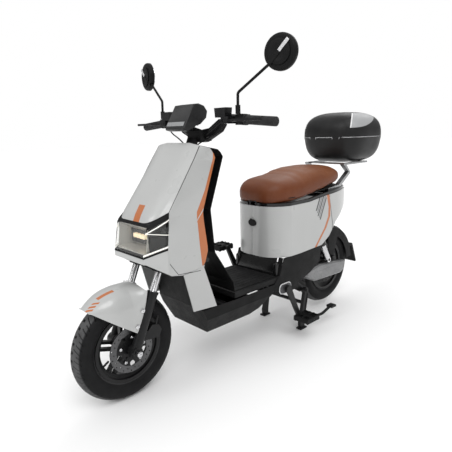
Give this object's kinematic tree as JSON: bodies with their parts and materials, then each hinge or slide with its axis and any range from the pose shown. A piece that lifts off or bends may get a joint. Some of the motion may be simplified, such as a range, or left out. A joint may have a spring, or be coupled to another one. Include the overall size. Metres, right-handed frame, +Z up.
{
  "type": "electric moped scooter",
  "caption": "Step-through electric moped with pedals, tan saddle, rear luggage box, telescopic fork, swing arm, round mirrors and a centre stand.",
  "frame": {"origin": "on the floor under the middle of the overall length and width, with the centre stand down", "axes": "+X forward, +Y to the rider's left, +Z up"},
  "size_m": [1.8239, 0.8988, 1.286],
  "materials": {
    "white_paint": "satin light grey paint",
    "black_plastic": "textured",
    "gloss_black": "gloss",
    "black_metal": "satin black",
    "chrome_tube": "polished",
    "silver_alloy": "brushed",
    "steel": "machined",
    "tyre_rubber": "treaded",
    "grip_rubber": "ribbed",
    "clear_lens": "clear",
    "tan_leather": "grained",
    "hose_rubber": "smooth"
  },
  "bodies": {
    "chassis": {"main_frame": "black_metal", "frame_bearings": "steel", "front_panel": "white_paint", "side_fairings": "white_paint", "chin_panel": "white_paint", "headlight_lens": "clear_lens", "headlight_housing": "gloss_black", "inner_leg_shield": "black_plastic", "belly_pan": "black_plastic", "footboard": "black_plastic", "riser_panel": "gloss_black", "lower_side_covers": "black_plastic", "pod_shell": "white_paint", "tail_panels": "white_paint", "pod_rim": "gloss_black", "power_pack": "black_plastic", "luggage_rack": "silver_alloy", "top_box_base": "black_plastic"},
    "steering": {"fork_crown": "black_metal", "fork_stanchions": "chrome_tube", "handlebar": "black_metal", "bar_clamp": "black_plastic", "display": "gloss_black", "left_grip": "grip_rubber", "switch_boxes": "black_plastic", "lever_perches": "black_metal", "brake_hoses": "hose_rubber"},
    "fork_lower": {"fork_lowers": "black_metal", "front_axle": "steel", "front_fender": "white_paint"},
    "front_wheel": {"front_tyre": "tyre_rubber", "front_rim": "black_metal", "front_brake_disc": "steel"},
    "throttle": {"throttle_grip": "grip_rubber"},
    "horn_button": {"horn_button": "black_plastic"},
    "left_brake_lever": {"left_brake_lever": "black_metal"},
    "right_brake_lever": {"right_brake_lever": "black_metal"},
    "left_mirror": {"left_mirror_head": "black_plastic"},
    "right_mirror": {"right_mirror_head": "black_plastic"},
    "seat": {"seat_cushion": "tan_leather", "seat_pan": "black_plastic"},
    "charge_cap": {"charge_cap": "black_plastic"},
    "box_lid": {"top_box_lid": "black_plastic"},
    "box_latch": {"box_latch": "gloss_black"},
    "swing_arm": {"swing_arm": "black_metal", "swing_arm_cover": "silver_alloy", "rear_axle": "steel", "rear_fender": "black_plastic", "drive_chain": "steel"},
    "rear_wheel": {"rear_tyre": "tyre_rubber", "rear_rim": "black_metal"},
    "freewheel": {"freewheel": "steel"},
    "crank": {"crank_set": "black_metal"},
    "left_pedal": {"left_pedal": "black_plastic"},
    "right_pedal": {"right_pedal": "black_plastic"},
    "left_shock_body": {"left_shock_body": "gloss_black"},
    "left_shock_rod": {"left_shock_rod": "chrome_tube"},
    "right_shock_body": {"right_shock_body": "gloss_black"},
    "right_shock_rod": {"right_shock_rod": "chrome_tube"},
    "centre_stand": {"centre_stand": "black_metal"}
  },
  "joints": [
    {"name": "steering_turn", "type": "hinge", "parent": "chassis", "child": "steering", "pos_m": [0.66769, 0, 0.206], "axis": [-0.4067, 0, 0.9135], "range_deg": [-36, 36]},
    {"name": "fork_slide", "type": "slide", "parent": "steering", "child": "fork_lower", "axis": [-0.4067, 0, 0.9135], "range_m": [0, 0.045], "stiffness_N_per_m": 12000, "springref_m": -0.07},
    {"name": "front_wheel_spin", "type": "hinge", "parent": "fork_lower", "child": "front_wheel", "pos_m": [0.706, 0, 0.206], "axis": [0, 1, 0], "continuous": true},
    {"name": "throttle_twist", "type": "hinge", "parent": "steering", "child": "throttle", "pos_m": [0.29471, -0.252, 1.01486], "axis": [-0.0126, -0.9967, -0.0796], "range_deg": [0, 70], "stiffness_Nm_per_rad": 0.3, "springref_deg": -11.46},
    {"name": "horn_press", "type": "slide", "parent": "steering", "child": "horn_button", "axis": [1, 0, 0], "range_m": [0, 0.0022], "stiffness_N_per_m": 600, "springref_m": -0.001},
    {"name": "left_lever_pull", "type": "hinge", "parent": "steering", "child": "left_brake_lever", "pos_m": [0.332, 0.196, 1.01333], "axis": [0, 0, 1], "range_deg": [0, 10], "stiffness_Nm_per_rad": 1.5, "springref_deg": -11.46},
    {"name": "right_lever_pull", "type": "hinge", "parent": "steering", "child": "right_brake_lever", "pos_m": [0.332, -0.196, 1.01333], "axis": [0, 0, -1], "range_deg": [0, 10], "stiffness_Nm_per_rad": 1.5, "springref_deg": -11.46},
    {"name": "left_mirror_tilt", "type": "hinge", "parent": "steering", "child": "left_mirror", "pos_m": [0.278, 0.356, 1.196], "axis": [0, 1, 0], "range_deg": [-10, 10]},
    {"name": "right_mirror_tilt", "type": "hinge", "parent": "steering", "child": "right_mirror", "pos_m": [0.278, -0.356, 1.196], "axis": [0, 1, 0], "range_deg": [-10, 10]},
    {"name": "seat_lift", "type": "hinge", "parent": "chassis", "child": "seat", "pos_m": [0, 0, 0.662], "axis": [0, 1, 0], "range_deg": [0, 75]},
    {"name": "charge_cap_flip", "type": "hinge", "parent": "chassis", "child": "charge_cap", "pos_m": [0.009, -0.004, 0.576], "axis": [0, -1, 0], "range_deg": [0, 95]},
    {"name": "lid_open", "type": "hinge", "parent": "chassis", "child": "box_lid", "pos_m": [-0.543, 0, 0.931], "axis": [0, 1, 0], "range_deg": [0, 80]},
    {"name": "latch_lift", "type": "hinge", "parent": "box_lid", "child": "box_latch", "pos_m": [-0.907, 0, 0.946], "axis": [0, 1, 0], "range_deg": [0, 70]},
    {"name": "swing_pivot", "type": "hinge", "parent": "chassis", "child": "swing_arm", "pos_m": [-0.059, 0, 0.261], "axis": [0, 1, 0], "range_deg": [0, 7], "stiffness_Nm_per_rad": 3000, "springref_deg": -3.44},
    {"name": "rear_wheel_spin", "type": "hinge", "parent": "swing_arm", "child": "rear_wheel", "pos_m": [-0.55, 0, 0.231], "axis": [0, 1, 0], "continuous": true},
    {"name": "freewheel_spin", "type": "hinge", "parent": "swing_arm", "child": "freewheel", "pos_m": [-0.55, 0, 0.231], "axis": [0, 1, 0], "continuous": true},
    {"name": "crank_spin", "type": "hinge", "parent": "chassis", "child": "crank", "pos_m": [-0.059, 0, 0.261], "axis": [0, 1, 0], "continuous": true},
    {"name": "left_shock_tilt", "type": "hinge", "parent": "chassis", "child": "left_shock_body", "pos_m": [-0.324, 0.113, 0.512], "axis": [0, 1, 0], "range_deg": [0, 4.72]},
    {"name": "left_shock_slide", "type": "slide", "parent": "left_shock_body", "child": "left_shock_rod", "axis": [0.4939, 0, 0.8695], "range_m": [0, 0.04455]},
    {"name": "right_shock_tilt", "type": "hinge", "parent": "chassis", "child": "right_shock_body", "pos_m": [-0.324, -0.113, 0.512], "axis": [0, 1, 0], "range_deg": [0, 4.72]},
    {"name": "right_shock_slide", "type": "slide", "parent": "right_shock_body", "child": "right_shock_rod", "axis": [0.4939, 0, 0.8695], "range_m": [0, 0.04455]},
    {"name": "stand_fold", "type": "hinge", "parent": "chassis", "child": "centre_stand", "pos_m": [-0.241, 0, 0.193], "axis": [0, 1, 0], "range_deg": [0, 75]},
    {"name": "left_pedal_spin", "type": "hinge", "parent": "crank", "child": "left_pedal", "pos_m": [-0.13291, 0.21, 0.11013], "axis": [0, 1, 0], "continuous": true},
    {"name": "right_pedal_spin", "type": "hinge", "parent": "crank", "child": "right_pedal", "pos_m": [0.01491, -0.21, 0.41187], "axis": [0, 1, 0], "continuous": true}
  ],
  "couplings": [
    {"joint": "freewheel_spin", "follows": "crank_spin", "ratio": 1.5},
    {"joint": "left_shock_tilt", "follows": "swing_pivot", "ratio": 0.66072},
    {"joint": "left_shock_slide", "follows": "swing_pivot", "m_per_rad": 0.35748},
    {"joint": "right_shock_tilt", "follows": "swing_pivot", "ratio": 0.66072},
    {"joint": "right_shock_slide", "follows": "swing_pivot", "m_per_rad": 0.35748}
  ]
}
